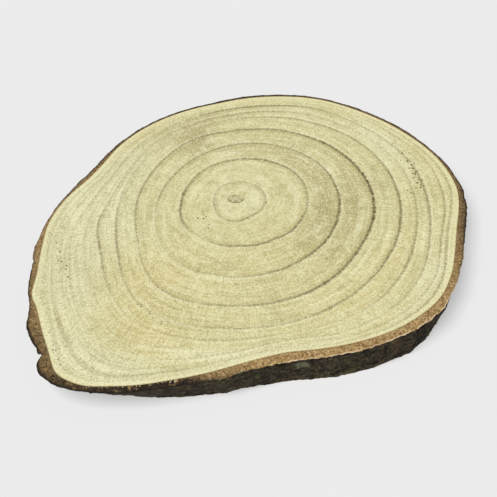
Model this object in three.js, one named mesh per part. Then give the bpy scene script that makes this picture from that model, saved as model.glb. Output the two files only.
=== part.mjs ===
// A slice sawn across a young, fast-grown trunk with pale wood and thin bark.
// It lies flat: the underside is at z = 0, the sanded upper face at z = THICKNESS.
// Millimetres and degrees. A bearing is measured about the pith, from +X towards +Y.
import * as THREE from "three";

// Driving dimensions
const THICKNESS = 22;
const PITH_RADIUS = 5.5;
const PITH_DEPTH = 0.6;
const GROOVE_HALF_WIDTH = 0.9;
const GROOVE_DEPTH = 0.6;
const FAINT_GROOVE_SCALE = 0.6;

// How many points a loop has around the trunk
const FACE_STEPS = 72;
const EDGE_STEPS = 216;

// The outline, by bearing: wood radius, bark thickness at the upper face, and how
// far the side draws in from the upper face down to the underside.
const OUTLINE = [
  { bearing: 0, wood: 159.2, bark: 5.2, undercut: 1.6 },
  { bearing: 5, wood: 159.6, bark: 3.8, undercut: 2 },
  { bearing: 15, wood: 155.9, bark: 2.3, undercut: 2.5 },
  { bearing: 30, wood: 145.8, bark: 2.7, undercut: 3 },
  { bearing: 45, wood: 136, bark: 2.7, undercut: 3.5 },
  { bearing: 60, wood: 128.1, bark: 2.4, undercut: 4 },
  { bearing: 75, wood: 118.6, bark: 2.6, undercut: 4 },
  { bearing: 90, wood: 110.5, bark: 2.6, undercut: 4 },
  { bearing: 100, wood: 106.4, bark: 2.2, undercut: 4 },
  { bearing: 115, wood: 104.3, bark: 2, undercut: 4 },
  { bearing: 130, wood: 103.9, bark: 2, undercut: 4 },
  { bearing: 150, wood: 104.3, bark: 2.6, undercut: 5 },
  { bearing: 160, wood: 104.9, bark: 3.9, undercut: 5 },
  { bearing: 170, wood: 109.9, bark: 3.7, undercut: 6 },
  { bearing: 180, wood: 121, bark: 2.2, undercut: 7 },
  { bearing: 190, wood: 131.8, bark: 2.2, undercut: 8 },
  { bearing: 200, wood: 140.2, bark: 5, undercut: 9 },
  { bearing: 208, wood: 149, bark: 4.6, undercut: 10 },
  { bearing: 214, wood: 159.5, bark: 2.3, undercut: 10 },
  { bearing: 216, wood: 160.5, bark: 3, undercut: 10 },
  { bearing: 218, wood: 161.8, bark: 5.3, undercut: 10 },
  { bearing: 220, wood: 163.8, bark: 8.7, undercut: 10.5 },
  { bearing: 223, wood: 167.6, bark: 9.3, undercut: 11 },
  { bearing: 226, wood: 171.6, bark: 8, undercut: 11 },
  { bearing: 228.3, wood: 174.9, bark: 5.6, undercut: 11 },
  { bearing: 229.5, wood: 176.8, bark: 9.6, undercut: 11.5 },
  { bearing: 232, wood: 181.4, bark: 9, undercut: 12.5 },
  { bearing: 234.5, wood: 185.2, bark: 7.2, undercut: 13 },
  { bearing: 240, wood: 183.3, bark: 5, undercut: 15 },
  { bearing: 245, wood: 176, bark: 4.2, undercut: 12.8 },
  { bearing: 250, wood: 168.8, bark: 3.6, undercut: 9.2 },
  { bearing: 256, wood: 160, bark: 3.6, undercut: 5.6 },
  { bearing: 262, wood: 152.8, bark: 4.8, undercut: 3.6 },
  { bearing: 270, wood: 144.6, bark: 6.7, undercut: 2.4 },
  { bearing: 277, wood: 140, bark: 6, undercut: 0.6 },
  { bearing: 284, wood: 138.6, bark: 6.3, undercut: -0.6 },
  { bearing: 292, wood: 142.3, bark: 6.4, undercut: -1.8 },
  { bearing: 300, wood: 147.4, bark: 5.6, undercut: -2.4 },
  { bearing: 310, wood: 154.3, bark: 6, undercut: -2 },
  { bearing: 318, wood: 158.9, bark: 6.1, undercut: -1.4 },
  { bearing: 326, wood: 161.8, bark: 5.8, undercut: 1.4 },
  { bearing: 334, wood: 160.4, bark: 4.8, undercut: 1.2 },
  { bearing: 342, wood: 157.4, bark: 5.5, undercut: 0.2 },
  { bearing: 350, wood: 156.4, bark: 6, undercut: 1 },
];

// Growth rings, from the pith out, each by values at even steps round the pith. They
// are radii, except for the last ring, which follows the outline and is given by its
// distances in from the bark.
const RINGS = [
  { radii: [21.5, 20.5, 19, 17.5, 16.5, 16, 15.7, 17.5, 21, 22.2, 20.5, 21.2], faint: true },
  { radii: [51.5, 51, 46, 41.3, 38.8, 36.7, 38.2, 43.3, 45.2, 45.4, 47.7, 50.2] },
  { radii: [74, 71.4, 64.8, 57.9, 53, 51.5, 55, 62.8, 71.8, 73, 73.4, 74] },
  { radii: [98.2, 92.5, 83, 74, 70.8, 67.2, 69.8, 77.7, 96.5, 97.6, 98.7, 97.3] },
  { radii: [117, 111.5, 99.3, 87.7, 82, 79.3, 82.2, 92.9, 115.4, 115.8, 117, 117.3] },
  {
    radii: [
      128.2, 126.1, 120.5, 113.9, 107.9, 99.7, 93.4, 89.5, 87, 86, 85.1, 84.9,
      89.3, 99, 105, 117, 127.8, 127.6, 125.1, 124.1, 128.5, 131.8, 131.2, 129.4,
    ],
    faint: true,
  },
  {
    radii: [
      136.8, 134.8, 128.6, 122.1, 116.3, 107.1, 100.2, 96, 93.4, 92.7, 92.2, 93.6,
      101.5, 115.8, 128, 143.5, 156.8, 144.9, 134.4, 129.3, 137.2, 142.5, 142.5, 138.9,
    ],
  },
  {
    radii: [
      148.8, 146.5, 138.4, 129.2, 122.1, 113, 105.4, 100.2, 98.6, 98.3, 98.2, 99.3,
      112, 128, 140.6, 158.5, 172.5, 154.4, 139.3, 134.2, 141.8, 149.3, 151.9, 146.6,
    ],
    faint: true,
  },
  {
    insets: [
      5, 4.3, 4.1, 3.5, 3, 2.8, 2.5, 2.5, 2.6, 2.7, 3, 3.8,
      4.4, 4.5, 5.4, 6, 4.6, 3.4, 2.6, 2.3, 2.6, 3.6, 4.8, 6,
    ],
    faint: true,
  },
];

// Bark relief: furrows run up the trunk between low plates
const BARK_LEVELS = [0.9, 0.76, 0.6, 0.42, 0.25, 0.1];
const FURROW_COUNT = 64;
const FURROW_SCATTER = 0.8;
const FURROW_DEPTHS = { least: 0.5, most: 1.5 };
const FURROW_HALF_WIDTH = 0.9;
const FURROW_SLANT = 1.6;
const LUMP_COUNTS = [7, 11, 19];
const LUMP_HEIGHT = 0.45;
const LUMP_TWIST = 2;
const BULGE = 1.1;
const LIP_DROPS = { least: 0.4, most: 1.2 };
const LIP_RAGGEDNESS = 0.5;
const LIP_OVERHANG = 0.5;
const SAWN_FLAT_SHARE = 0.55;
const FULL_RELIEF_BARK = 5;

const random = seededRandom(27);

const furrows = Array.from({ length: FURROW_COUNT }, (_, index) => ({
  bearing: ((index + between(0, FURROW_SCATTER)) * 360) / FURROW_COUNT,
  depth: between(FURROW_DEPTHS.least, FURROW_DEPTHS.most),
  slant: between(-FURROW_SLANT, FURROW_SLANT),
}));
const lumps = LUMP_COUNTS.map((count) => ({ count, phase: between(0, 2 * Math.PI) }));
const raggedness = Array.from({ length: EDGE_STEPS }, () => ({
  radial: between(-LIP_RAGGEDNESS, LIP_RAGGEDNESS),
  upperDrop: between(LIP_DROPS.least, LIP_DROPS.most),
  lowerDrop: between(LIP_DROPS.least, LIP_DROPS.most),
}));

// A repeatable stream of numbers from 0 to 1
function seededRandom(seed) {
  let state = seed;
  return () => {
    state = (Math.imul(state, 1664525) + 1013904223) >>> 0;
    return state / 2 ** 32;
  };
}

function between(least, most) {
  return least + (most - least) * random();
}

// A smooth closed curve through values given at bearings round the pith
function smoothAround(bearings, values, bearing) {
  const count = bearings.length;
  const knot = (index) => {
    const turns = Math.floor(index / count);
    const place = index - turns * count;
    return { at: bearings[place] + 360 * turns, value: values[place] };
  };
  let index = count - 1;
  while (bearings[index] > bearing) {
    index -= 1;
  }
  const [before, start, end, after] = [-1, 0, 1, 2].map((step) => knot(index + step));
  const width = end.at - start.at;
  const startSlope = (end.value - before.value) / (end.at - before.at);
  const endSlope = (after.value - start.value) / (after.at - start.at);
  const s = (bearing - start.at) / width;
  return (
    (2 * s ** 3 - 3 * s ** 2 + 1) * start.value +
    (s ** 3 - 2 * s ** 2 + s) * width * startSlope +
    (3 * s ** 2 - 2 * s ** 3) * end.value +
    (s ** 3 - s ** 2) * width * endSlope
  );
}

const outlineBearings = OUTLINE.map((row) => row.bearing);

function outlineValue(name, bearing) {
  return smoothAround(outlineBearings, OUTLINE.map((row) => row[name]), bearing);
}

function evenlySpacedValue(values, bearing) {
  return smoothAround(values.map((_, index) => (index * 360) / values.length), values, bearing);
}

// The radius of a growth ring at the upper face
function ringRadius(ring, bearing) {
  if (ring.radii) {
    return evenlySpacedValue(ring.radii, bearing);
  }
  return outlineValue("wood", bearing) - evenlySpacedValue(ring.insets, bearing);
}

// The same growth ring lower down: the side draws in, and the middle hardly moves
function radiusAtHeight(radius, bearing, height) {
  const edge = outlineValue("wood", bearing);
  const drawnIn = outlineValue("undercut", bearing) * (1 - height / THICKNESS);
  return radius - drawnIn * (radius / edge) ** 2;
}

function pointAt(bearing, radius, z) {
  const angle = THREE.MathUtils.degToRad(bearing);
  return new THREE.Vector3(radius * Math.cos(angle), radius * Math.sin(angle), z);
}

function loopOf(steps, pointFor) {
  return Array.from({ length: steps }, (_, index) => pointFor((index * 360) / steps, index));
}

// A growth ring as a shallow V groove in one cut face, as three loops from inside out
function grooveLoops(ring, faceZ, inwards) {
  const scale = ring.faint ? FAINT_GROOVE_SCALE : 1;
  const halfWidth = GROOVE_HALF_WIDTH * scale;
  const depth = GROOVE_DEPTH * scale * inwards;
  return [-halfWidth, 0, halfWidth].map((offset) =>
    loopOf(FACE_STEPS, (bearing) => {
      const radius = radiusAtHeight(ringRadius(ring, bearing), bearing, faceZ);
      return pointAt(bearing, radius + offset, offset === 0 ? faceZ + depth : faceZ);
    }),
  );
}

// One cut face of the wood, from the sunken pith out to the cambium
function faceLoops(faceZ, inwards) {
  const floorZ = faceZ + PITH_DEPTH * inwards;
  return [
    [new THREE.Vector3(0, 0, floorZ)],
    loopOf(FACE_STEPS, (bearing) => pointAt(bearing, PITH_RADIUS - PITH_DEPTH, floorZ)),
    loopOf(FACE_STEPS, (bearing) => pointAt(bearing, PITH_RADIUS, faceZ)),
    ...RINGS.flatMap((ring) => grooveLoops(ring, faceZ, inwards)),
    cambiumLoop(faceZ),
  ];
}

// Where the wood meets the bark
function cambiumLoop(z) {
  return loopOf(EDGE_STEPS, (bearing) =>
    pointAt(bearing, radiusAtHeight(outlineValue("wood", bearing), bearing, z), z),
  );
}

// How deep the furrows cut at a bearing, a share of the way up the side
function furrowDepth(bearing, share) {
  return furrows.reduce((total, furrow) => {
    const centre = furrow.bearing + furrow.slant * (share - 0.5);
    const away = THREE.MathUtils.euclideanModulo(bearing - centre + 180, 360) - 180;
    return total + furrow.depth * Math.exp(-((away / FURROW_HALF_WIDTH) ** 2));
  }, 0);
}

function lumpHeight(bearing, share) {
  const turn = THREE.MathUtils.degToRad(bearing);
  return lumps.reduce(
    (total, { count, phase }) =>
      total + LUMP_HEIGHT * Math.sin(count * turn + phase + LUMP_TWIST * share),
    0,
  );
}

// The bark's plain outer radius at a height, and how much of its relief shows there:
// thin bark is smoother.
function plainBark(bearing, height) {
  const bark = outlineValue("bark", bearing);
  const drawnIn = outlineValue("undercut", bearing) * (1 - height / THICKNESS);
  return {
    radius: outlineValue("wood", bearing) + bark - drawnIn,
    relief: Math.min(1, bark / FULL_RELIEF_BARK),
  };
}

// The outer face of the bark, a share of the way up from the underside
function barkLoop(share) {
  return loopOf(EDGE_STEPS, (bearing, index) => {
    const { radius, relief } = plainBark(bearing, share * THICKNESS);
    const swelling =
      BULGE * Math.sin(Math.PI * share) -
      LIP_OVERHANG +
      lumpHeight(bearing, share) -
      furrowDepth(bearing, share) +
      raggedness[index].radial * share;
    return pointAt(bearing, radius + relief * swelling, share * THICKNESS);
  });
}

// The broken outer edge of the bark beside a cut face
function lipLoop(faceZ, inwards, dropName) {
  return loopOf(EDGE_STEPS, (bearing, index) => {
    const { radius, relief } = plainBark(bearing, faceZ);
    const drop = inwards * relief * raggedness[index][dropName];
    return pointAt(bearing, radius + relief * raggedness[index].radial, faceZ + drop);
  });
}

// The sawn face of the bark, flush with the wood for half its width
function sawnBarkLoop(faceZ) {
  return loopOf(EDGE_STEPS, (bearing) => {
    const wood = radiusAtHeight(outlineValue("wood", bearing), bearing, faceZ);
    return pointAt(bearing, wood + SAWN_FLAT_SHARE * outlineValue("bark", bearing), faceZ);
  });
}

// Triangles between two loops, walking round both together. Where both could step on,
// the second loop steps first, or the first one if firstLeads is set.
function stitch(triangles, first, second, firstLeads = false) {
  let i = 0;
  let j = 0;
  while (i < first.length || j < second.length) {
    const a = first[i % first.length];
    const b = second[j % second.length];
    const firstNext = (i + 1) / first.length;
    const secondNext = (j + 1) / second.length;
    const stepFirst = firstLeads ? firstNext <= secondNext : firstNext < secondNext;
    if (stepFirst) {
      i += 1;
      const next = first[i % first.length];
      if (next !== a) {
        triangles.push(a, b, next);
      }
    } else {
      j += 1;
      const next = second[j % second.length];
      if (next !== b) {
        triangles.push(a, b, next);
      }
    }
  }
}

function stitchInTurn(loops) {
  const triangles = [];
  for (let index = 1; index < loops.length; index += 1) {
    stitch(triangles, loops[index - 1], loops[index]);
  }
  return triangles;
}

function meshFrom(name, triangles, corners, material) {
  const places = new Map(corners.map((corner, index) => [corner, index]));
  const geometry = new THREE.BufferGeometry();
  geometry.setFromPoints(corners);
  geometry.setIndex(triangles.map((corner) => places.get(corner)));
  geometry.computeVertexNormals();
  const mesh = new THREE.Mesh(geometry, material);
  mesh.name = name;
  return mesh;
}

// The wood: upper face from the pith out, down the cambium, and back to the pith below
function buildWood() {
  const loops = [...faceLoops(THICKNESS, -1), ...faceLoops(0, 1).reverse()];
  return meshFrom("wood", stitchInTurn(loops), loops.flat(), new THREE.MeshStandardMaterial({
    color: 0xdfd8a8,
    roughness: 0.75,
    metalness: 0,
  }));
}

// The bark: a closed ring round the wood, bonded to it along the cambium
function buildBark() {
  const loops = [
    cambiumLoop(THICKNESS),
    sawnBarkLoop(THICKNESS),
    lipLoop(THICKNESS, -1, "upperDrop"),
    ...BARK_LEVELS.map((share) => barkLoop(share)),
    lipLoop(0, 1, "lowerDrop"),
    sawnBarkLoop(0),
    cambiumLoop(0),
  ];
  const triangles = stitchInTurn(loops);
  stitch(triangles, loops.at(-1), loops[0], true);
  return meshFrom("bark", triangles, loops.flat(), new THREE.MeshStandardMaterial({
    color: 0x4a3d2c,
    roughness: 0.95,
    metalness: 0,
  }));
}

const wood = buildWood();
const bark = buildBark();

// The slice stands centred on the origin
const middle = new THREE.Box3().setFromObject(bark).getCenter(new THREE.Vector3());
for (const mesh of [wood, bark]) {
  mesh.geometry.translate(-middle.x, -middle.y, 0);
}

const slice = new THREE.Group();
slice.name = "wood_slice";
slice.add(wood, bark);

export default slice;
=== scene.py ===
# A slice sawn across a young trunk, lying flat on a pale table. Metres, +Z up.
# Bearings are in degrees round the pith, from +X towards +Y.
import math

import bpy
import numpy as np
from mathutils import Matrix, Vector, noise


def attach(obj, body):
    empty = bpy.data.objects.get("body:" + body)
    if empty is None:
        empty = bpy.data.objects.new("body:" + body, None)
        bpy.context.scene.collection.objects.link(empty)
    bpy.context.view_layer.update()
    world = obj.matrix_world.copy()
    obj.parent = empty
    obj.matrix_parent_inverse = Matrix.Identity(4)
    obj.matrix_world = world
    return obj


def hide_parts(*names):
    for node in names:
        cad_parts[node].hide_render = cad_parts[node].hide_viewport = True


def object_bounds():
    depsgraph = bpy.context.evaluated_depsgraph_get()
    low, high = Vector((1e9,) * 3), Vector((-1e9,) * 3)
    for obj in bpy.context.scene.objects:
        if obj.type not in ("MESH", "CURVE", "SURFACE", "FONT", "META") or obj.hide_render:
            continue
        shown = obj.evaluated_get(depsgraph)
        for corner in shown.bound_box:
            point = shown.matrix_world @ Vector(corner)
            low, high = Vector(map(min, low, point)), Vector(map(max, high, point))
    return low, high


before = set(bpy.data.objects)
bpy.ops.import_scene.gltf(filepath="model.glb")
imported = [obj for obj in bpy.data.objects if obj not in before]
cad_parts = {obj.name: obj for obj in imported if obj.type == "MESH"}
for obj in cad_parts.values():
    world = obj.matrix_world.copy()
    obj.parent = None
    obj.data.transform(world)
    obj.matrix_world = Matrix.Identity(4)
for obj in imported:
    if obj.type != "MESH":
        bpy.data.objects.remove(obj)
cad_low, cad_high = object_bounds()

# The camera stands in front of the slice and looks down on it from about 0.65 m, far
# enough for a calm perspective, with the upper face filling the picture.
TOP = cad_high.z
LOOK_DOWN = math.radians(48)
CAMERA_DISTANCE = 0.65
LENS_MM = 69.25
LOOK_AT = Vector((-0.00475, -0.02465, TOP))
VIEW_DEPTH = 100

camera = bpy.data.objects.new("camera", bpy.data.cameras.new("camera"))
bpy.context.scene.collection.objects.link(camera)
camera.data.lens = LENS_MM
camera.data.clip_end = VIEW_DEPTH
camera.location = LOOK_AT + CAMERA_DISTANCE * Vector((0, -math.cos(LOOK_DOWN), math.sin(LOOK_DOWN)))
camera.rotation_euler = (math.pi / 2 - LOOK_DOWN, 0, 0)
bpy.context.scene.camera = camera

# The light of a small photo studio: one large soft lamp at the front left, and dim walls
# all round. The glowing table below fills the shadows.
LAMP_HEIGHT = math.radians(62)
LAMP_BEARING = math.radians(220)
LAMP_SIZE = math.radians(36)
LAMP_STRENGTH = 3.25
WALL_LIGHT = 0.14

bpy.context.scene.view_settings.view_transform = "Standard"
lamp = bpy.data.objects.new("studio_lamp", bpy.data.lights.new("studio_lamp", "SUN"))
bpy.context.scene.collection.objects.link(lamp)
lamp.data.energy = LAMP_STRENGTH
lamp.data.angle = LAMP_SIZE
lamp.rotation_euler = (math.pi / 2 - LAMP_HEIGHT, 0, LAMP_BEARING + math.pi / 2)
world = bpy.data.worlds.new("studio_walls")
world.use_nodes = True
world.node_tree.nodes["Background"].inputs["Color"].default_value = (1, 1, 1, 1)
world.node_tree.nodes["Background"].inputs["Strength"].default_value = WALL_LIGHT
bpy.context.scene.world = world


# The table: a studio table of matt, translucent white acrylic, so large that its edges are
# out of sight. It is lit from below, which keeps the shadows round the slice pale.
def linear(hex_colour):
    """An sRGB hex value as a linear colour with alpha."""
    channels = [int(hex_colour[i:i + 2], 16) / 255 for i in (1, 3, 5)]
    return (*(c / 12.92 if c <= 0.04045 else ((c + 0.055) / 1.055) ** 2.4 for c in channels), 1)


TABLE_HALF_SIDE = 20
TABLE_COLOUR = "#A1A1A1"
TABLE_GLOW = 0.46
TABLE_ROUGHNESS = 0.9
TABLE_GLOSS = 0.1


def finish(material, values, links):
    """A material's shader with its plain values set and its patterned inputs linked."""
    shader = material.node_tree.nodes["Principled BSDF"]
    for name, value in values.items():
        shader.inputs[name].default_value = value
    for name, source in links.items():
        material.node_tree.links.new(source, shader.inputs[name])


table_mesh = bpy.data.meshes.new("table")
table_mesh.from_pydata(
    [(x * TABLE_HALF_SIDE, y * TABLE_HALF_SIDE, 0) for x, y in ((-1, -1), (1, -1), (1, 1), (-1, 1))],
    [], [(0, 1, 2, 3)],
)
table = bpy.data.objects.new("table", table_mesh)
bpy.context.scene.collection.objects.link(table)
acrylic = bpy.data.materials.new("translucent_white_acrylic")
acrylic.use_nodes = True
finish(acrylic, {
    "Base Color": linear(TABLE_COLOUR),
    "Emission Color": (1, 1, 1, 1),
    "Emission Strength": TABLE_GLOW,
    "Roughness": TABLE_ROUGHNESS,
    "Specular IOR Level": TABLE_GLOSS,
}, {})
table_mesh.materials.append(acrylic)

# The wood: the whole disc of pale, wide-ringed, porous wood inside the bark, cut across by
# a saw and sanded on both faces. The growth rings and the outline are read off the frame's
# own solid, and the rings stand as fine sunken lines where soft early wood meets late wood.
MM = 0.001
PITH = np.array([-0.013853, 0.023253])
PITH_RADIUS = 5.5 * MM
PITH_FLATNESS = 0.74
PITH_SINK = 0.2 * MM
PITH_SLOPE = (0.8, 1.4)
RING_GROOVE_DEPTH = 0.12 * MM
RING_GROOVE_WIDTH = 0.6 * MM
SANDING_WAVE = 0.06 * MM
WAVES_PER_METRE = 30
SHARP_EDGE = math.radians(50)

# How the solid is read: its points along the edge and along each ring, how near a height
# counts as the same, and between which depths a ring's groove lies
EDGE_LOOP_COUNT = 216
RING_LOOP_COUNT = 72
SAME_HEIGHT = 0.01 * MM
GROOVE_LEVELS = (0.2 * MM, 0.8 * MM)

# The faces are loops of points round the pith. The two inner rings have fewer points to a
# loop, and the loops crowd towards each ring line.
WOOD_STEPS = 480
WOOD_THINNING = {0: 4, 1: 2}
UPPER_SPACING = 1.25 * MM
LOWER_SPACING = 3.6 * MM
LINE_CROWDING = 0.75
FEWEST_LOOPS = 3
INNERMOST_LOOP = 0.3


def solid_points(node):
    """A solid's points as bearing, radius about the pith, and height."""
    points = np.array([vertex.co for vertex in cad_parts[node].data.vertices])
    arm = points[:, :2] - PITH
    bearing = np.degrees(np.arctan2(arm[:, 1], arm[:, 0])) % 360
    return bearing, np.hypot(arm[:, 0], arm[:, 1]), points[:, 2]


def outermost(node, low, high):
    """A solid's largest radius between two heights, at evenly spaced bearings."""
    bearing, radius, height = solid_points(node)
    picked = (height > low) & (height < high)
    place = np.rint(bearing[picked] * EDGE_LOOP_COUNT / 360).astype(int) % EDGE_LOOP_COUNT
    loop = np.zeros(EDGE_LOOP_COUNT)
    np.maximum.at(loop, place, radius[picked])
    return loop


def around(loop, steps):
    """A closed loop of evenly spaced values, drawn smoothly through more steps."""
    place = np.arange(steps) * len(loop) / steps
    index = np.floor(place).astype(int)
    share = place - index
    before, start, end, after = (loop[(index + k) % len(loop)] for k in (-1, 0, 1, 2))
    curve = 2 * before - 5 * start + 4 * end - after + share * (3 * (start - end) + after - before)
    return start + 0.5 * share * (end - before + share * curve)


def growth_rings():
    """The radius of every growth ring in the wood's upper face, one row for each ring."""
    bearing, radius, height = solid_points("wood")
    shallow, deep = GROOVE_LEVELS
    grooved = (height > TOP - deep) & (height < TOP - shallow) & (radius > 2 * PITH_RADIUS)
    place = np.rint(bearing * RING_LOOP_COUNT / 360).astype(int) % RING_LOOP_COUNT
    columns = [
        np.unique(np.round(radius[grooved & (place == step)], 5))
        for step in range(RING_LOOP_COUNT)
    ]
    return np.array(columns).T


def degrees_away(places, bearing):
    """How many degrees each of some bearings lies away from one bearing, either way."""
    return (places - bearing + 180) % 360 - 180


cambium_top = outermost("wood", TOP - SAME_HEIGHT, TOP + SAME_HEIGHT)
cambium_bottom = outermost("wood", -SAME_HEIGHT, SAME_HEIGHT)
bearings = np.arange(WOOD_STEPS) * 360 / WOOD_STEPS
edge = around(cambium_top, WOOD_STEPS)
drawn_in = edge - around(cambium_bottom, WOOD_STEPS)
knots = [0 * edge, *(around(ring, WOOD_STEPS) for ring in growth_rings()), edge]
gaps = [outer - inner for inner, outer in zip(knots, knots[1:])]

# How dark each ring's line is, from the pith out, at every 30 degrees round it. It varies
# with how much late wood the tree laid down on that side in that year.
LINE_DARKNESS = [
    [0.33, 0.34, 0.26, 0.22, 0.36, 0.30, 0.38, 0.40, 0.36, 0.38, 0.50, 0.42],
    [0.42, 0.60, 0.80, 0.60, 0.54, 0.58, 0.88, 0.56, 0.18, 0.70, 0.68, 0.74],
    [0.82, 0.58, 0.38, 0.60, 0.46, 0.52, 0.46, 0.14, 0.26, 0.38, 0.64, 0.84],
    [1.02, 0.94, 0.72, 0.70, 0.56, 0.54, 0.58, 0.36, 0.38, 0.48, 0.82, 0.84],
    [0.76, 0.52, 0.52, 0.32, 0.12, 0.14, 0.30, 0.64, 0.14, 0.34, 0.48, 0.68],
    [0.32, 0.22, 0.32, 0.48, 0.22, 0.20, 0.32, 0.56, 0.08, 0.20, 0.12, 0.44],
    [0.58, 0.30, 0.56, 0.70, 0.20, 0.26, 0.26, 0.16, 0.05, 0.20, 0.18, 0.36],
    [0.44, 0.14, 0.06, 0.04, 0.08, 0.10, 0.14, 0.18, 0.30, 0.24, 0.12, 0.32],
    [0.42, 0.26, 0.12, 0.06, 0.06, 0.08, 0.20, 0.16, 0.13, 0.10, 0.22, 0.50],
]
lines = [0 * edge, *(around(np.array(values), WOOD_STEPS) for values in LINE_DARKNESS), 0 * edge]

# Soft stains of brown tannin, ochre and cool grey, pale patches, and patches with more open
# pores. Each has its middle, its reach and its strength: bearing, radius in mm, reach along
# the rings in degrees, reach across them in mm, strength.
STAINS = {
    "brown": [
        (350, 86, 26, 12, 0.65), (8, 104, 16, 7, 0.6), (116, 72, 8, 8, 0.5), (119, 64, 15, 12, 0.8),
        (118, 82, 18, 10, 0.9), (20, 84, 28, 9, 0.5), (325, 84, 14, 8, 0.3), (20, 62, 60, 11, 0.8),
        (90, 52, 34, 9, 0.45), (75, 74, 30, 8, 0.35), (342, 128, 12, 7, 0.25), (0, 132, 9, 6, 0.4),
        (345, 106, 26, 8, 0.25), (12, 38, 45, 13, 0.35), (96, 91, 26, 7, 0.45), (334, 64, 26, 9, 0.6),
        (250, 58, 40, 10, 0.15), (305, 82, 26, 10, 0.2), (130, 97, 20, 5, 0.6), (212, 71, 14, 7, 0.3),
        (240, 142, 10, 8, 0.3), (32, 143, 14, 3, 0.2), (56, 129, 14, 3, 0.22), (301, 146, 12, 3, 0.22),
    ],
    "ochre": [
        (134, 100, 18, 4, 1.3), (90, 108, 26, 4, 0.6), (50, 127, 20, 6, 0.3), (14, 149, 22, 6, 0.5),
        (236, 100, 24, 36, 0.6), (247, 136, 13, 13, 0.7), (330, 124, 36, 14, 0.4), (300, 110, 36, 26, 0.3),
        (300, 60, 80, 36, 0.4), (30, 144, 12, 3, 0.8), (46, 136, 12, 3, 0.8), (62, 126, 12, 3, 0.8),
        (302, 146, 14, 3, 0.8), (342, 156, 14, 4, 0.3),
    ],
    "cool": [
        (185, 102, 30, 34, 0.9), (150, 86, 26, 22, 0.5), (214, 134, 16, 26, 0.9), (30, 126, 22, 12, 0.5),
        (246, 166, 16, 14, 0.8), (232, 172, 16, 12, 0.7), (100, 34, 60, 14, 0.2),
    ],
    "pale": [
        (0, 14, 90, 9, 0.7), (190, 13, 60, 8, 0.5), (90, 30, 30, 9, 0.4), (30, 124, 18, 14, 0.75),
        (180, 99, 20, 16, 0.5), (181, 114, 22, 6, 0.8), (332, 152, 14, 8, 0.8), (240, 171, 16, 8, 1.0),
        (205, 92, 16, 16, 0.25), (60, 106, 14, 7, 0.5), (273, 139, 26, 6, 1.0), (180, 84, 12, 5, 0.3),
    ],
    "porous": [
        (219, 31, 10, 5, 1.0), (237, 34, 6, 4, 0.8), (350, 20, 12, 4, 0.7), (12, 133, 11, 4, 1.6),
        (204, 131, 10, 3, 1.2), (182, 97, 8, 4, 0.4), (2, 123, 6, 5, 0.8), (318, 84, 8, 6, 0.6),
        (230, 172, 16, 12, 0.4), (236, 118, 24, 24, 0.3), (14, 96, 6, 3, 1.2), (252, 49, 4, 3, 0.7),
    ],
}


def stain_strength(name, radius, steps):
    """The summed strength of one kind of stain at every point of a loop."""
    strength = np.zeros(len(steps))
    for bearing, middle, along, across, amount in STAINS[name]:
        away = degrees_away(bearings[steps], bearing)
        strength += amount * np.exp(-((away / along) ** 2) - ((radius / MM - middle) / across) ** 2)
    return strength


def wood_face(height, inwards, spacing):
    """Loops of points from the pith to the cambium, each with what its material needs to know."""
    loops = []
    for ring, gap in enumerate(gaps):
        steps = np.arange(0, WOOD_STEPS, WOOD_THINNING.get(ring, 1))
        angle = np.radians(bearings[steps])
        count = max(FEWEST_LOOPS, round(gap.mean() / spacing))
        first = 0 if ring else INNERMOST_LOOP
        last = count + (ring == len(gaps) - 1)
        for share in [first / count, *(index / count for index in range(1, last))]:
            share -= LINE_CROWDING * math.sin(math.tau * share) / math.tau
            radius = (knots[ring] + share * gap)[steps]
            nearest = ring + round(share)
            line = lines[nearest][steps]
            to_line = (radius - knots[nearest][steps]) / RING_GROOVE_WIDTH
            from_pith = radius * np.hypot(np.cos(angle), np.sin(angle) / PITH_FLATNESS)
            side = radius - (1 - height / TOP) * drawn_in[steps] * (radius / edge[steps]) ** 2
            x, y = PITH[0] + side * np.cos(angle), PITH[1] + side * np.sin(angle)
            wave = np.array([
                noise.noise(WAVES_PER_METRE * Vector((a, b, 3 * height))) for a, b in zip(x, y)
            ])
            sink = RING_GROOVE_DEPTH * line * np.exp(-(to_line ** 2))
            flat, rim = PITH_SLOPE
            sink += PITH_SINK * np.clip(rim - from_pith / PITH_RADIUS, 0, rim - flat)
            sink += SANDING_WAVE * (wave + 1) * (ring < len(gaps) - 1)
            loops.append({
                "points": np.column_stack([x, y, height + inwards * sink]),
                "age": ring + share + np.zeros(len(steps)),
                "ring_gap": (gap / MM)[steps],
                "line": line,
                "from_pith": from_pith / MM,
                "to_bark": (edge[steps] - radius) / MM,
                "round_x": np.cos(angle),
                "round_y": np.sin(angle),
                **{name: stain_strength(name, radius, steps) for name in STAINS},
            })
    return loops


def numbered(loops):
    """The point numbers of each loop, counted through all the loops."""
    starts = np.cumsum([0] + [len(loop["points"]) for loop in loops])
    return [list(range(start, end)) for start, end in zip(starts, starts[1:])]


def stitch(faces, inner, outer, turned=False):
    """Faces between two loops, of which the outer one may have a multiple of the inner's points."""
    times = len(outer) // len(inner)
    for index, corner in enumerate(inner):
        following = inner[(index + 1) % len(inner)]
        run = [outer[(index * times + step) % len(outer)] for step in range(times + 1)]
        if times == 1:
            new = [[corner, run[0], run[1], following]]
        else:
            new = [*([corner, a, b] for a, b in zip(run, run[1:])), [corner, run[-1], following]]
        faces += [face[::-1] for face in new] if turned else new


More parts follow.
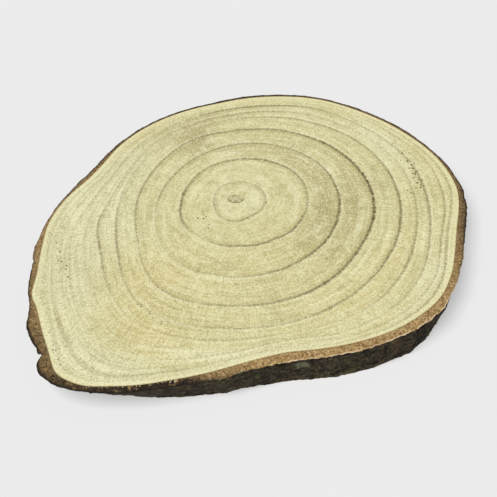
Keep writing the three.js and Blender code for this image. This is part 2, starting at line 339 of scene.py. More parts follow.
def mesh_piece(name, loops, faces):
    """A smooth mesh from loops of points, with their other values as named attributes."""
    mesh = bpy.data.meshes.new(name)
    mesh.from_pydata(np.concatenate([loop["points"] for loop in loops]).tolist(), [], faces)
    for field in loops[0]:
        if field != "points":
            values = np.concatenate([loop[field] for loop in loops]).astype(np.float32)
            mesh.attributes.new(field, "FLOAT", "POINT").data.foreach_set("value", values)
    mesh.shade_smooth()
    mesh.set_sharp_from_angle(angle=SHARP_EDGE)
    piece = bpy.data.objects.new(name, mesh)
    bpy.context.scene.collection.objects.link(piece)
    return piece


upper = wood_face(TOP, -1, UPPER_SPACING)
lower = wood_face(0, 1, LOWER_SPACING)
wood_numbers = numbered(upper + lower)
upper_numbers, lower_numbers = wood_numbers[:len(upper)], wood_numbers[len(upper):]
wood_faces = [upper_numbers[0], lower_numbers[0][::-1]]
for inner, outer in zip(upper_numbers, upper_numbers[1:]):
    stitch(wood_faces, inner, outer)
for inner, outer in zip(lower_numbers, lower_numbers[1:]):
    stitch(wood_faces, inner, outer, turned=True)
stitch(wood_faces, upper_numbers[-1], lower_numbers[-1])
wood = mesh_piece("sanded_wood_disc", upper + lower, wood_faces)

# Bare end grain of a pale, light wood, belt sanded with medium grit and left without oil.
# It looks matt and slightly furry, with a fine mottle of cut fibres, open pores just
# outside each ring line, and faint rays and thin bands that follow the growth. Fibres are
# some 0.03 mm across and pores 0.3 mm, too fine to show in a picture of the whole slice, so
# the mottle and the pores are drawn coarser than the real ones.
WOOD_IOR = 1.53
WOOD_GLOSS = 0.35
CREAM = "#D7D09B"
PALE = "#EFECC3"
SHADE = "#AAA26E"
LATE_WOOD = "#A5965F"
# The ring lines' colour, also used for the painted shade at the front of the pith
RING_LINE_AND_SHADE = "#574A28"
PORE = "#4A3F22"
BROWN = "#A08C59"
OCHRE = "#D2B768"
COOL = "#D6D4AC"
SAPWOOD = "#EBE5B5"
PITH_COLOUR = "#B8B389"
BAST_LINE = "#8F6A3A"
GRAIN_SIZE = 1.3 * MM
MOTTLE_SIZE = 5 * MM
BLOTCH_SIZE = 22 * MM
PORE_SPACING = 2 * MM
WANDER_SIZE = 9 * MM
BEAD_SIZE = 2.2 * MM

# Scales of the patterns that follow the growth: of the cosine and the sine of the bearing,
# and of the age in years
BANDS = (2.5, 2.5, 5)
RIPPLES = (4, 4, 18)
RAYS = (110, 110, 1.4)

# How far the ring lines wander, as a share of a ring's width. How far beads and rays eat
# into them, how far a dark line spreads and how far out the pith's rim of painted shade
# lies, in mm.
RING_WANDER = 0.09
BEAD_BITE = 1.1
RAY_BITE = 2.4
LINE_SPREAD = 0.5
PITH_SHADE_RIM_MM = 5.4


def add(material, kind, inputs, output=0, **settings):
    """A new shader node's output. Its inputs are set to values or linked to other outputs."""
    node = material.node_tree.nodes.new(kind)
    for name, value in settings.items():
        setattr(node, name, value)
    for name, value in inputs.items():
        if isinstance(value, bpy.types.NodeSocket):
            material.node_tree.links.new(value, node.inputs[name])
        else:
            node.inputs[name].default_value = value
    return node.outputs[output]


def layered(material, colour, layers):
    """Colours laid over each other, each fading in between two values of a source."""
    for source, start, end, most, shade in layers:
        mask = add(material, "ShaderNodeMapRange",
                   {"Value": source, "From Min": start, "From Max": end, "To Max": most},
                   interpolation_type="SMOOTHSTEP")
        colour = add(material, "ShaderNodeMix", {0: mask, 6: colour, 7: linear(shade)}, 2, data_type="RGBA")
    return colour


grain = bpy.data.materials.new("sanded_pale_end_grain")
grain.use_nodes = True
known = {
    field: add(grain, "ShaderNodeAttribute", {}, "Fac", attribute_name=field)
    for field in upper[0] if field != "points"
}
place = add(grain, "ShaderNodeTexCoord", {}, "Object")
growth = add(grain, "ShaderNodeCombineXYZ", {0: known["round_x"], 1: known["round_y"], 2: known["age"]})
band_place, ripple_place, ray_place = (
    add(grain, "ShaderNodeVectorMath", {0: growth, 1: scales}, operation="MULTIPLY")
    for scales in (BANDS, RIPPLES, RAYS)
)
fine, mottle, blotch, band, ripple, ray, wander, beads = (
    add(grain, "ShaderNodeTexNoise", {"Vector": at, "Scale": scale, "Detail": detail, "Roughness": 0.65})
    for at, scale, detail in (
        (place, 1 / GRAIN_SIZE, 1), (place, 1 / MOTTLE_SIZE, 3), (place, 1 / BLOTCH_SIZE, 3),
        (band_place, 1, 4), (ripple_place, 1, 2), (ray_place, 1, 3),
        (place, 1 / WANDER_SIZE, 2), (place, 1 / BEAD_SIZE, 2),
    )
)

# Distances in mm after the last ring line and before the next, and to the nearer of them
wandering = add(grain, "ShaderNodeMath", {0: wander, 1: 0.5}, operation="SUBTRACT")
age = add(grain, "ShaderNodeMath", {0: wandering, 1: RING_WANDER, 2: known["age"]},
          operation="MULTIPLY_ADD")
ring_share = add(grain, "ShaderNodeMath", {0: age}, operation="FRACT")
ring_left = add(grain, "ShaderNodeMath", {0: 1.0, 1: ring_share}, operation="SUBTRACT")
after = add(grain, "ShaderNodeMath", {0: ring_share, 1: known["ring_gap"]}, operation="MULTIPLY")
before = add(grain, "ShaderNodeMath", {0: ring_left, 1: known["ring_gap"]}, operation="MULTIPLY")
to_line = add(grain, "ShaderNodeMath", {0: after, 1: before}, operation="MINIMUM")
for source, reach in ((beads, BEAD_BITE), (ray, RAY_BITE), (known["line"], -LINE_SPREAD)):
    to_line = add(grain, "ShaderNodeMath", {0: source, 1: reach, 2: to_line}, operation="MULTIPLY_ADD")

# Open pores: cells of which some are holes, mostly just outside a ring line and in the
# porous patches
pore_distance = add(grain, "ShaderNodeTexVoronoi", {"Vector": place, "Scale": 1 / PORE_SPACING})
pore_number = add(grain, "ShaderNodeSeparateXYZ", {0: pore_distance.node.outputs["Color"]})
pore_zone = add(grain, "ShaderNodeMapRange",
                {"Value": after, "From Min": 0.5, "From Max": 5, "To Min": 0.1, "To Max": 0})
pore_chance = add(grain, "ShaderNodeMath", {0: known["porous"], 1: 0.5, 2: pore_zone},
                  operation="MULTIPLY_ADD")
pore_chance = add(grain, "ShaderNodeMath", {0: pore_chance, 1: pore_number}, operation="ADD")
pore_open = add(grain, "ShaderNodeMapRange",
                {"Value": pore_chance, "From Min": 0.85, "From Max": 1.25, "To Max": 0.9})
pores = add(grain, "ShaderNodeMath", {0: known["porous"], 1: -0.12, 2: pore_distance},
            operation="MULTIPLY_ADD")
pores = add(grain, "ShaderNodeMapRange",
            {"Value": pores, "From Min": 0.34, "From Max": 0.16, "To Max": pore_open},
            interpolation_type="SMOOTHSTEP")

# How strong the beaded ring lines and the late wood inside them are, and the fuzz of cut
# fibres, which grows from the pith out
beaded = add(grain, "ShaderNodeMapRange",
             {"Value": beads, "From Min": 0.65, "From Max": 0.35, "To Min": 0.5})
line_strength = add(grain, "ShaderNodeMath", {0: known["line"], 1: beaded},
                    operation="MULTIPLY", use_clamp=True)
halo = add(grain, "ShaderNodeMath", {0: known["line"], 1: 0.75}, operation="MULTIPLY", use_clamp=True)
fuzz = add(grain, "ShaderNodeMapRange",
           {"Value": known["age"], "From Max": 2.5, "To Min": 0.25, "To Max": 0.48})

# The pith: dots of its loose cells, and a broken dark rim of painted shade along the front
# wall of its shallow hollow
pith_dots = add(grain, "ShaderNodeMapRange",
                {"Value": known["from_pith"], "From Min": 6, "From Max": 5.2, "To Max": 0.5})
rim = add(grain, "ShaderNodeMath", {0: known["from_pith"], 1: PITH_SHADE_RIM_MM}, operation="SUBTRACT")
rim = add(grain, "ShaderNodeMath", {0: rim}, operation="ABSOLUTE")
pith_shade_side = add(grain, "ShaderNodeMapRange", {"Value": known["round_y"], "From Min": 0.6, "From Max": -0.5})
pith_shade_dots = add(grain, "ShaderNodeMapRange",
               {"Value": ray, "From Min": 0.42, "From Max": 0.56, "To Min": 0.25})
pith_rim_shade = add(grain, "ShaderNodeMath", {0: pith_shade_side, 1: pith_shade_dots}, operation="MULTIPLY")

# Tannin stains run in streaks along the rays
streaked = add(grain, "ShaderNodeMapRange",
               {"Value": ray, "From Min": 0.66, "From Max": 0.36, "To Min": 0.5})
browned = add(grain, "ShaderNodeMath", {0: known["brown"], 1: streaked}, operation="MULTIPLY")

grain_colour = layered(grain, linear(CREAM), [
    (blotch, 0.45, 0.75, 0.35, SHADE),
    (blotch, 0.5, 0.25, 0.3, PALE),
    (known["cool"], 0, 1, 0.85, COOL),
    (known["ochre"], 0, 1, 0.6, OCHRE),
    (browned, 0, 1, 0.85, BROWN),
    (known["pale"], 0, 1, 0.75, PALE),
    (mottle, 0.5, 0.7, fuzz, PALE),
    (mottle, 0.48, 0.3, fuzz, SHADE),
    (band, 0.5, 0.68, 0.5, PALE),
    (band, 0.5, 0.32, 0.5, SHADE),
    (ripple, 0.5, 0.7, 0.3, PALE),
    (ripple, 0.5, 0.3, 0.3, SHADE),
    (ray, 0.5, 0.3, 0.4, SHADE),
    (ray, 0.52, 0.7, 0.3, PALE),
    (before, 5, 0, halo, LATE_WOOD),
    (after, 3.2, 1.2, 0.22, PALE),
    (known["to_bark"], 10, 4, 0.2, SAPWOOD),
    (known["to_bark"], 3.8, 2.4, 0.45, SAPWOOD),
    (known["from_pith"], 5.6, 4.8, 0.75, PITH_COLOUR),
    (fine, 0.5, 0.68, fuzz, PALE),
    (fine, 0.5, 0.32, fuzz, SHADE),
    (fine, 0.46, 0.36, pith_dots, PORE),
    (pores, 0, 1, 0.9, PORE),
    # Painted shade: a broken dark rim on the front wall of the pith's hollow
    (rim, 0.9, 0.3, pith_rim_shade, RING_LINE_AND_SHADE),
    (to_line, 2.9, 1.7, line_strength, RING_LINE_AND_SHADE),
    (known["to_bark"], 0.8, 0.1, 0.6, BAST_LINE),
])
raised = add(grain, "ShaderNodeMath", {0: fine, 1: 0.9, 2: ray}, operation="MULTIPLY_ADD")
raised = add(grain, "ShaderNodeMath", {0: pores, 1: -1.2, 2: raised}, operation="MULTIPLY_ADD")
furry = add(grain, "ShaderNodeBump", {"Height": raised, "Strength": 0.3, "Distance": 0.3 * MM})
dull = add(grain, "ShaderNodeMapRange", {"Value": mottle, "To Min": 0.68, "To Max": 0.86})
finish(grain, {"IOR": WOOD_IOR, "Specular IOR Level": WOOD_GLOSS},
       {"Base Color": grain_colour, "Roughness": dull, "Normal": furry})
wood.data.materials.append(grain)
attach(wood, "root")
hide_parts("wood")

# The bark: a closed ring of tan inner bark with a dark corky skin, grown onto the wood and
# sawn through with it. The sawn edge is broken and frayed, and the outside has upright
# crevices, fine wrinkles round the trunk, corky warts and crusts of lichen.
BARK_STEPS = 1200
BARK_ROWS = 34
MEAN_RADIUS_MM = 150

# The heights at which the outside is read off the solid, as shares of the thickness, and
# how near to a height a point has to be, at the two lips and between them
BARK_LEVELS = [0.96, 0.9, 0.76, 0.6, 0.42, 0.25, 0.1, 0.03]
LIP_REACH = 0.045
LEVEL_REACH = 0.01

# The skin's relief: how deep each kind is and over what size it changes. It is weaker where
# the bark is thin.
FULL_RELIEF_BARK = 5 * MM
LEAST_RELIEF = 0.3
SKIN_SINK = 0.3 * MM
LUMP = 0.7 * MM
LUMP_SIZE = 14 * MM
WRINKLE = 0.42 * MM
WRINKLE_SIZE = 8 * MM
WRINKLE_FLATNESS = 5
WRINKLED_PATCH = 10 * MM
ROUGHNESS = 0.4 * MM
ROUGHNESS_SIZE = 2.6 * MM
PLATE_SIZE = (17 * MM, 17 * MM, 30 * MM)
PLATE_BEND = 0.3
PLATE_BEND_SIZE = 9 * MM
PLATE_CRACK = 0.6 * MM
PLATE_CRACK_SHARE = 0.08
CRACKED_PATCH = 16 * MM
CRACKED_SHARE = 0.4
WART_COUNT = 420
WART_HEIGHT = 0.4 * MM
WART_RADIUS = 1.2 * MM
WART_FLATNESS = 0.5

# The sawn edge: where its loops lie between the cambium at 0 and the lip at 1, how it bends
# down to the lip, its pits, the chipped and frayed lip, and the stretch where the bark
# broke away, as its bearing and half width in degrees
SAWN_SHARES = [0, 0.1, 0.24, 0.4, 0.56, 0.7, 0.82, 0.92]
SAWN_BEND = 3
SAWN_PIT = 0.35 * MM
PIT_SIZE_MM = 2.2
PIT_COVER = 0.7
PIT_START = 0.2
LIP_DROP = 0.8 * MM
LIP_WAVE = 0.7 * MM
LIP_FRAY = 0.25 * MM
LIP_BULGE = 0.35 * MM
FOOT_LIP = 0.35 * MM
FRAY_SIZE_MM = 2.2
BULGE_SIZE_MM = 2.6
FOOT_SIZE_MM = 5
CHIP_SIZE_MM = 9
CHIP_LEVELS = 2.5
BROKEN_STRETCH = (250, 11)
BROKEN_DEPTH = 1.8 * MM
BROKEN_PITS = 2
BROKEN_WAVE = 0.4
BROKEN_SIZE_MM = 3
BARK_SEED = 41
bark_random = np.random.default_rng(BARK_SEED)
noise.seed_set(BARK_SEED)

# Upright crevices: bearing at the top, lean towards the bottom and half width in degrees,
# depth in mm. The first is the cleft beside the pointed end. It runs from face to face, and
# the shallow ones fade out towards both faces.
DEEP_CLEFT = 2
CREVICE_FADE = 4
CREVICES = [(228.8, 0.3, 0.42, 3.6), (307.2, -0.9, 0.6, 0.9), (316.9, -3, 0.7, 1.2)]
CREVICES += [
    (bark_random.uniform(0, 360), bark_random.uniform(-2.5, 2.5), bark_random.uniform(0.3, 0.6),
     bark_random.uniform(0.2, 0.6))
    for _ in range(24)
]

# Broad hollows, and one swelling beside the cleft: bearing, half width in degrees, depth in
# mm at the top and at the foot
HOLLOWS = [(327, 8, 0, 2.2), (239, 5, 1.4, 1.4), (225.5, 2.5, 0.9, 0.9), (230.9, 1.9, -1.9, -1.9)]

# Warts: the least and the most of their bearing, height as a share and size
WART_LIMITS = ((0, 0.08, 0.6), (360, 0.9, 1.3))

# Crusts of lichen: bearing, height as a share, reach along and up in mm
LICHENS = [(287, 0.7, 6, 4), (120, 0.5, 8, 5), (40, 0.35, 9, 4), (205, 0.6, 6, 4), (338, 0.3, 6, 3)]

bark_bearings = np.arange(BARK_STEPS) * 360 / BARK_STEPS
bark_angle = np.radians(bark_bearings)
solid_loops = []
for level in BARK_LEVELS:
    lip = level in (BARK_LEVELS[0], BARK_LEVELS[-1])
    near = LIP_REACH if lip else LEVEL_REACH
    loop = outermost("bark", (level - near) * TOP, (level + near) * TOP)
    if lip:
        loop = (np.roll(loop, 1) + 2 * loop + np.roll(loop, -1)) / 4
    solid_loops.append(around(loop, BARK_STEPS))
wood_edge_top = around(cambium_top, BARK_STEPS)
wood_edge_bottom = around(cambium_bottom, BARK_STEPS)
relief = np.clip((solid_loops[0] - wood_edge_top) / FULL_RELIEF_BARK, LEAST_RELIEF, 1)
broken = np.exp(-(((bark_bearings - BROKEN_STRETCH[0]) / BROKEN_STRETCH[1]) ** 4))
warts = bark_random.uniform(*WART_LIMITS, (WART_COUNT, 3))


def ragged(size, seed):
    """A number from -1 to 1 at every bearing, changing over a size in mm round the trunk."""
    turns = MEAN_RADIUS_MM / size
    return np.array([noise.noise((math.cos(a) * turns, math.sin(a) * turns, seed)) for a in bark_angle])


def skin_relief(at):
    """How far the corky skin stands out at one point, in metres, and how deep a crack is there, which also
    sets its painted shade.
    """
    bend = noise.noise_vector(at / PLATE_BEND_SIZE) * PLATE_BEND
    cell = Vector(value / size for value, size in zip(at, PLATE_SIZE)) + bend
    nearest, second = noise.voronoi(cell)[0][:2]
    cracks_and_shade = max(0, noise.noise(at / CRACKED_PATCH) + CRACKED_SHARE)
    crack = max(0, 1 - (second - nearest) / PLATE_CRACK_SHARE) * cracks_and_shade
    lump = LUMP * noise.noise(at / LUMP_SIZE)
    wrinkled = 0.5 + noise.noise(at / WRINKLED_PATCH)
    squeezed = Vector((at.x, at.y, at.z * WRINKLE_FLATNESS))
    wrinkle = WRINKLE * wrinkled * (1 - 2 * abs(noise.noise(squeezed / WRINKLE_SIZE)))
    rough = ROUGHNESS * noise.fractal(at / ROUGHNESS_SIZE, 0.8, 2, 3)
    return lump + wrinkle + rough - PLATE_CRACK * crack, crack


def skin_loop(share, height):
    """One loop of the bark's outside, at a share of the way up and a height at every bearing."""
    base = np.array([np.interp(share, BARK_LEVELS[::-1], column[::-1]) for column in zip(*solid_loops)])
    x, y = PITH[0] + base * np.cos(bark_angle), PITH[1] + base * np.sin(bark_angle)
    skin, crack = np.array([skin_relief(Vector(point)) for point in zip(x, y, height)]).T
    crevice = np.zeros(BARK_STEPS)
    for bearing, lean, width, depth in CREVICES:
        shallow = min(1, CREVICE_FADE * (1 - share)) * min(1, CREVICE_FADE * share)
        reach = 1 if depth > DEEP_CLEFT else shallow
        away = degrees_away(bark_bearings, bearing + lean * (1 - share))
        crevice += reach * depth * MM * np.exp(-((away / width) ** 2))
    hollow = np.zeros(BARK_STEPS)
    for bearing, width, top_depth, foot_depth in HOLLOWS:
        depth = foot_depth + share * (top_depth - foot_depth)
        hollow += depth * MM * np.exp(-((degrees_away(bark_bearings, bearing) / width) ** 2))
    wart, lichen = np.zeros(BARK_STEPS), np.zeros(BARK_STEPS)
    for bearing, level, size in warts:
        along = np.radians(degrees_away(bark_bearings, bearing)) * base / (WART_RADIUS * size)
        up = (height / TOP - level) * TOP / (WART_FLATNESS * WART_RADIUS * size)
        wart += np.exp(-(along ** 2) - up ** 2)
    for bearing, level, length, rise in LICHENS:
        along = np.radians(degrees_away(bark_bearings, bearing)) * base / (length * MM)
        lichen += np.exp(-(along ** 2) - ((height - level * TOP) / (rise * MM)) ** 2)
    out = skin - SKIN_SINK + WART_HEIGHT * np.minimum(wart, 1) - crevice - hollow
    # The cracks and crevices also set where their painted shade goes
    return base + relief * out, crack + crevice / MM, wart, lichen


def bark_loop(radius, height, **fields):
    """A loop of bark points round the pith, kept inside the part's own box, with its fields."""
    x = np.clip(PITH[0] + radius * np.cos(bark_angle), cad_low.x, cad_high.x)
    y = np.clip(PITH[1] + radius * np.sin(bark_angle), cad_low.y, cad_high.y)
    loop = {"points": np.column_stack([x, y, np.clip(height, 0, TOP)]), "tan": tan}
    for field in ("sawn", "crack", "wart", "lichen"):
        loop[field] = fields.get(field, 0) + np.zeros(BARK_STEPS)
    return loop


def sawn_face(height, inwards, wood_edge, lip_radius, lip_height):
    """Loops over the sawn edge of the bark, from the cambium out to just short of the lip."""
    loops = []
    for index, share in enumerate(SAWN_SHARES):
        pits = (ragged(PIT_SIZE_MM, seed=7 + index) + PIT_COVER) * min(1, share / PIT_START)
        pits = SAWN_PIT * (1 + BROKEN_PITS * broken) * np.maximum(0, pits)
        sunk = share ** SAWN_BEND * np.abs(lip_height - height) + relief * pits
        radius = wood_edge + share * (lip_radius - wood_edge)
        loops.append(bark_loop(radius, height + inwards * sunk, sawn=1 - share))
    return loops


# How tan the sawn edge is round the trunk, from nearly black at 0 to light tan at 1
SAWN_TONES = [
    (0, 0.4), (22, 0.42), (60, 0.25), (110, 0.1), (150, 0.35), (165, 0.55), (180, 0.5), (195, 0.7),
    (206, 0.65), (214, 0.35), (219, 0.62), (224, 0.44), (232, 0.36), (236, 0.12), (250, 0.04), (260, 0.04),
    (264, 0.6), (275, 0.85), (285, 1), (318, 1), (335, 0.75), (341, 0.7), (347, 0.52), (352, 0.42),
    (360, 0.4),
]
tan = np.interp(bark_bearings, *zip(*SAWN_TONES))

lip_chips = np.round(CHIP_LEVELS * ragged(CHIP_SIZE_MM, seed=1)) / CHIP_LEVELS
upper_lip = TOP - relief * (LIP_DROP + LIP_WAVE * lip_chips + LIP_FRAY * ragged(FRAY_SIZE_MM, seed=2))
upper_lip -= BROKEN_DEPTH * broken * (1 + BROKEN_WAVE * ragged(BROKEN_SIZE_MM, seed=3))
lower_lip = relief * FOOT_LIP * (2 + ragged(FOOT_SIZE_MM, seed=4))
outside = []
for row in range(BARK_ROWS + 1):
    down = row / BARK_ROWS
    height = upper_lip + down * (lower_lip - upper_lip)
    radius, crack, wart, lichen = skin_loop(1 - down, height)
    if row == 0:
        radius = radius + relief * LIP_BULGE * (1 + ragged(BULGE_SIZE_MM, seed=5))
        lip_radius = radius
    outside.append(bark_loop(radius, height, crack=crack, wart=wart, lichen=lichen))
upper_sawn = sawn_face(TOP, -1, wood_edge_top, lip_radius, upper_lip)
lower_sawn = sawn_face(0, 1, wood_edge_bottom, radius, lower_lip)[::-1]
bark_loops = upper_sawn + outside + lower_sawn
bark_numbers = numbered(bark_loops)
sawn_faces = []
skin_faces = []
for index, (inner, outer) in enumerate(zip(bark_numbers, bark_numbers[1:])):
    on_skin = len(upper_sawn) <= index < len(upper_sawn) + BARK_ROWS
    stitch(skin_faces if on_skin else sawn_faces, inner, outer)
stitch(sawn_faces, bark_numbers[-1], bark_numbers[0])
bark = mesh_piece("bark_ring", bark_loops, sawn_faces + skin_faces)
bark.data.polygons.foreach_set("material_index", [0] * len(sawn_faces) + [1] * len(skin_faces))

# Bast and cork, sawn across and left rough: granular tan tissue full of small pits, brown
# where it is old. It looks dull and dry, with a thin dark line at the cambium and a torn rim,
# pale where the bark is tan, with a painted highlight along its edge, and the edge grows
# nearly black towards the rim where the bark is brown.
BARK_IOR = 1.5
BARK_GLOSS = 0.25
SAWN_ROUGHNESS = 0.88
TAN = "#A48656"
TAN_PALE = "#C9B080"
TAN_DARK = "#6B4C2B"
SAWN_BROWN = "#665438"
SAWN_BROWN_PALE = "#8D7650"
SAWN_BROWN_DARK = "#1D1610"
RUST = "#85663F"
# Pale torn fibres on the rim, with a painted highlight along its edge
TORN_RIM_AND_HIGHLIGHT = "#D9C09C"
GRANULE_SIZE = 1 * MM
CRUMB_SIZE = 1.8 * MM
SPECKLE_SIZE = 3 * MM
PATCH_SIZE = 7 * MM
CHIP_SIZE = 14 * MM

sawn = bpy.data.materials.new("sawn_inner_bark")
sawn.use_nodes = True
cut, toned = (
    add(sawn, "ShaderNodeAttribute", {}, "Fac", attribute_name=field) for field in ("sawn", "tan")
)
sawn_place = add(sawn, "ShaderNodeTexCoord", {}, "Object")
granule = add(sawn, "ShaderNodeTexVoronoi", {"Vector": sawn_place, "Scale": 1 / GRANULE_SIZE})
granule_number = add(sawn, "ShaderNodeSeparateXYZ", {0: granule.node.outputs["Color"]})
crumb, speckle, patch, chip = (
    add(sawn, "ShaderNodeTexNoise",
        {"Vector": sawn_place, "Scale": 1 / size, "Detail": 3, "Roughness": 0.65})
    for size in (CRUMB_SIZE, SPECKLE_SIZE, PATCH_SIZE, CHIP_SIZE)
)
# How strongly the rim shows its pale torn fibres and painted highlight where the bark is tan, and how much
# the sawn edge darkens towards the rim where it is brown
torn, brown_rim_darkening = (
    add(sawn, "ShaderNodeMapRange",
        {"Value": toned, "From Min": start, "From Max": end, "To Max": 0.85})
    for start, end in ((0.55, 0.9), (0.9, 0.55))
)
rim_highlight_part = add(sawn, "ShaderNodeMapRange",
               {"Value": chip, "From Min": 0.4, "From Max": 0.52, "To Max": torn})
tan_tissue = layered(sawn, linear(TAN), [
    (granule_number, 0.5, 1, 0.8, TAN_PALE),
    (granule_number, 0.4, 0, 0.8, TAN_DARK),
    (patch, 0.5, 0.7, 0.35, TAN_DARK),
    (crumb, 0.44, 0.3, 0.9, TAN_DARK),
    # The pale torn rim, partly a painted highlight along its edge
    (cut, 0.2, 0.09, rim_highlight_part, TORN_RIM_AND_HIGHLIGHT),
])
brown_tissue = layered(sawn, linear(SAWN_BROWN), [
    (granule_number, 0.6, 1, 0.55, RUST),
    (cut, 0.45, 0.85, 0.6, SAWN_BROWN_PALE),
    (toned, 0.35, 0, 0.9, SAWN_BROWN_DARK),
    (speckle, 0.54, 0.68, 0.65, TAN),
    (granule_number, 0.35, 0, 0.6, SAWN_BROWN_DARK),
    (crumb, 0.52, 0.34, 0.85, SAWN_BROWN_DARK),
])
tan_share = add(sawn, "ShaderNodeMapRange", {"Value": toned, "From Min": 0.35, "From Max": 0.85})
sawn_colour = add(sawn, "ShaderNodeMix", {0: tan_share, 6: brown_tissue, 7: tan_tissue}, 2,
                  data_type="RGBA")
sawn_colour = layered(sawn, sawn_colour, [
    (cut, 0.88, 1, 0.6, SAWN_BROWN),
    (crumb, 0.36, 0.28, 0.8, SAWN_BROWN_DARK),
    # Darker towards the rim where the bark is brown
    (cut, 0.34, 0.1, brown_rim_darkening, SAWN_BROWN_DARK),
])
pitted = add(sawn, "ShaderNodeBump", {"Height": crumb, "Strength": 0.8, "Distance": 0.6 * MM})
finish(sawn, {"Roughness": SAWN_ROUGHNESS, "IOR": BARK_IOR, "Specular IOR Level": BARK_GLOSS},
       {"Base Color": sawn_colour, "Normal": pitted})
bark.data.materials.append(sawn)

# Cork that has stood in the weather: grey-brown and rust, with painted shade nearly black in
# the cracks, lighter on the warts, with a green film of algae and a few pale crusts of lichen.
# It hardly shines.
SKIN_ROUGHNESS = 0.92
CORK = "#3A3223"
CORK_GREY = "#534A38"
CORK_RUST = "#5E4C31"
# The cork's own black, also used as painted shade in the cracks and crevices
CORK_BLACK_AND_SHADE = "#17130E"
WART = "#746349"
ALGAE = "#43452A"
LICHEN = "#76765D"
STREAK_SIZE = 7 * MM
STREAK_FLATNESS = 4
SPECK_SIZE = 2 * MM
CLOUD_SIZE = 18 * MM
GRIT_SIZE = 5 * MM

skin = bpy.data.materials.new("weathered_cork_bark")
skin.use_nodes = True
cracks_and_shade, warty, crusted = (
    add(skin, "ShaderNodeAttribute", {}, "Fac", attribute_name=field)
    for field in ("crack", "wart", "lichen")
)
skin_place = add(skin, "ShaderNodeTexCoord", {}, "Object")
flat_place = add(skin, "ShaderNodeVectorMath", {0: skin_place, 1: (1, 1, STREAK_FLATNESS)},
                 operation="MULTIPLY")
streak, speck, cloud, grit = (
    add(skin, "ShaderNodeTexNoise", {"Vector": at, "Scale": 1 / size, "Detail": 5, "Roughness": 0.7})
    for at, size in (
        (flat_place, STREAK_SIZE), (skin_place, SPECK_SIZE), (skin_place, CLOUD_SIZE),
        (skin_place, GRIT_SIZE),
    )
)
crust = add(skin, "ShaderNodeMath", {0: grit, 1: crusted}, operation="MULTIPLY")
skin_colour = layered(skin, linear(CORK), [
    (streak, 0.5, 0.64, 0.8, CORK_GREY),
    (cloud, 0.5, 0.36, 0.7, CORK_RUST),
    (cloud, 0.5, 0.64, 0.6, ALGAE),
    (streak, 0.5, 0.38, 0.85, CORK_BLACK_AND_SHADE),
    (grit, 0.5, 0.38, 0.8, CORK_BLACK_AND_SHADE),
    (speck, 0.52, 0.66, 0.55, WART),
    (speck, 0.48, 0.36, 0.7, CORK_BLACK_AND_SHADE),
    (warty, 0.4, 1, 0.35, WART),
    (crust, 0.22, 0.44, 0.75, LICHEN),
    # Painted shade: the cracks and crevices are darkened nearly black
    (cracks_and_shade, 0.15, 1.1, 0.85, CORK_BLACK_AND_SHADE),
])
corky = add(skin, "ShaderNodeMath", {0: speck, 1: 0.6, 2: streak}, operation="MULTIPLY_ADD")
corky = add(skin, "ShaderNodeBump", {"Height": corky, "Strength": 0.9, "Distance": 0.8 * MM})
finish(skin, {"Roughness": SKIN_ROUGHNESS, "IOR": BARK_IOR, "Specular IOR Level": BARK_GLOSS},
       {"Base Color": skin_colour, "Normal": corky})
bark.data.materials.append(skin)
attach(bark, "root")
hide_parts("bark")

# Frayed bast: short pale fibres of inner bark that the saw tore instead of cutting. They
# fringe the wood where the bark broke away and hang from the rim of the tan stretch, with
# one thicker tuft.
FIBRE_SIDES = 3
FIBRE_RINGS = 4
FIBRE_WIDTH = (0.2 * MM, 0.45 * MM)
FIBRE_ROOT = 0.3 * MM
FIBRE_SWING = 40
FIBRE_TAPER = 0.85
UP = np.array([0, 0, 1])

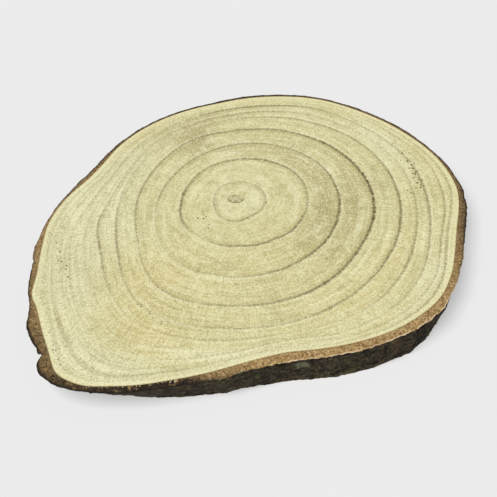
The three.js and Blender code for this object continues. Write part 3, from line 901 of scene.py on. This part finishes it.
# Each fringe: how many fibres, between which bearings, how far out from the cambium at 0 to
# the lip at 1 they start, their length, and how much they droop over it
FRINGES = [
    {"count": 70, "bearings": (240, 264), "start": 0.05, "length": (0.4 * MM, 1.5 * MM), "droop": 0.9},
    {"count": 14, "bearings": (256.2, 257.6), "start": 0.0, "length": (1.6 * MM, 3 * MM), "droop": 0.3},
    {"count": 60, "bearings": (264, 312), "start": 0.86, "length": (0.5 * MM, 1 * MM), "droop": 1.4},
]
FIBRE_SEED = 7
fibre_random = np.random.default_rng(FIBRE_SEED)
fibre_points = []
fibre_faces = []
for fringe in FRINGES:
    for _ in range(fringe["count"]):
        bearing = fibre_random.uniform(*fringe["bearings"])
        step = int(bearing * BARK_STEPS / 360)
        inner, outer, lip = wood_edge_top[step], lip_radius[step], upper_lip[step]
        radius = inner + fringe["start"] * (outer - inner) - FIBRE_ROOT
        sunk = fringe["start"] ** SAWN_BEND * (TOP - lip)
        length = fibre_random.uniform(*fringe["length"])
        thickness = fibre_random.uniform(*FIBRE_WIDTH)
        swing = fibre_random.uniform(-FIBRE_SWING, FIBRE_SWING)
        angle, heading = math.radians(bearing), math.radians(bearing + swing)
        x, y = PITH[0] + radius * math.cos(angle), PITH[1] + radius * math.sin(angle)
        root = np.array([x, y, TOP - thickness - sunk])
        ahead = np.array([math.cos(heading), math.sin(heading), 0])
        sideways = np.array([-ahead[1], ahead[0], 0])
        rings = []
        for ring in range(FIBRE_RINGS):
            share = ring / (FIBRE_RINGS - 1)
            middle = root + length * (share * ahead - fringe["droop"] * share ** 2 * UP)
            size = thickness * (1 - FIBRE_TAPER * share)
            rings.append([len(fibre_points) + corner for corner in range(FIBRE_SIDES)])
            for corner in range(FIBRE_SIDES):
                turn = math.tau * corner / FIBRE_SIDES
                fibre_points.append(middle + size * (math.cos(turn) * sideways + math.sin(turn) * UP))
        for near_ring, far_ring in zip(rings, rings[1:]):
            stitch(fibre_faces, near_ring, far_ring, turned=True)
        fibre_faces += [rings[0], rings[-1][::-1]]
fibres = mesh_piece("frayed_bast_fibres", [{"points": np.array(fibre_points)}], fibre_faces)

# Dry torn bast, bleached straw pale in places and still tan in others. It looks dull and a
# little uneven.
STRAW = "#DCCB9C"
STRAW_TAN = "#A98A5C"
STRAW_PATCH = 3 * MM
STRAW_ROUGHNESS = 0.8
straw = bpy.data.materials.new("torn_dry_bast")
straw.use_nodes = True
straw_place = add(straw, "ShaderNodeTexCoord", {}, "Object")
straw_noise = add(straw, "ShaderNodeTexNoise",
                  {"Vector": straw_place, "Scale": 1 / STRAW_PATCH, "Detail": 3})
straw_colour = layered(straw, linear(STRAW), [(straw_noise, 0.42, 0.58, 0.9, STRAW_TAN)])
straw_bump = add(straw, "ShaderNodeBump", {"Height": straw_noise, "Strength": 0.5, "Distance": 0.2 * MM})
finish(straw, {"Roughness": STRAW_ROUGHNESS, "IOR": BARK_IOR},
       {"Base Color": straw_colour, "Normal": straw_bump})
fibres.data.materials.append(straw)
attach(fibres, "root")
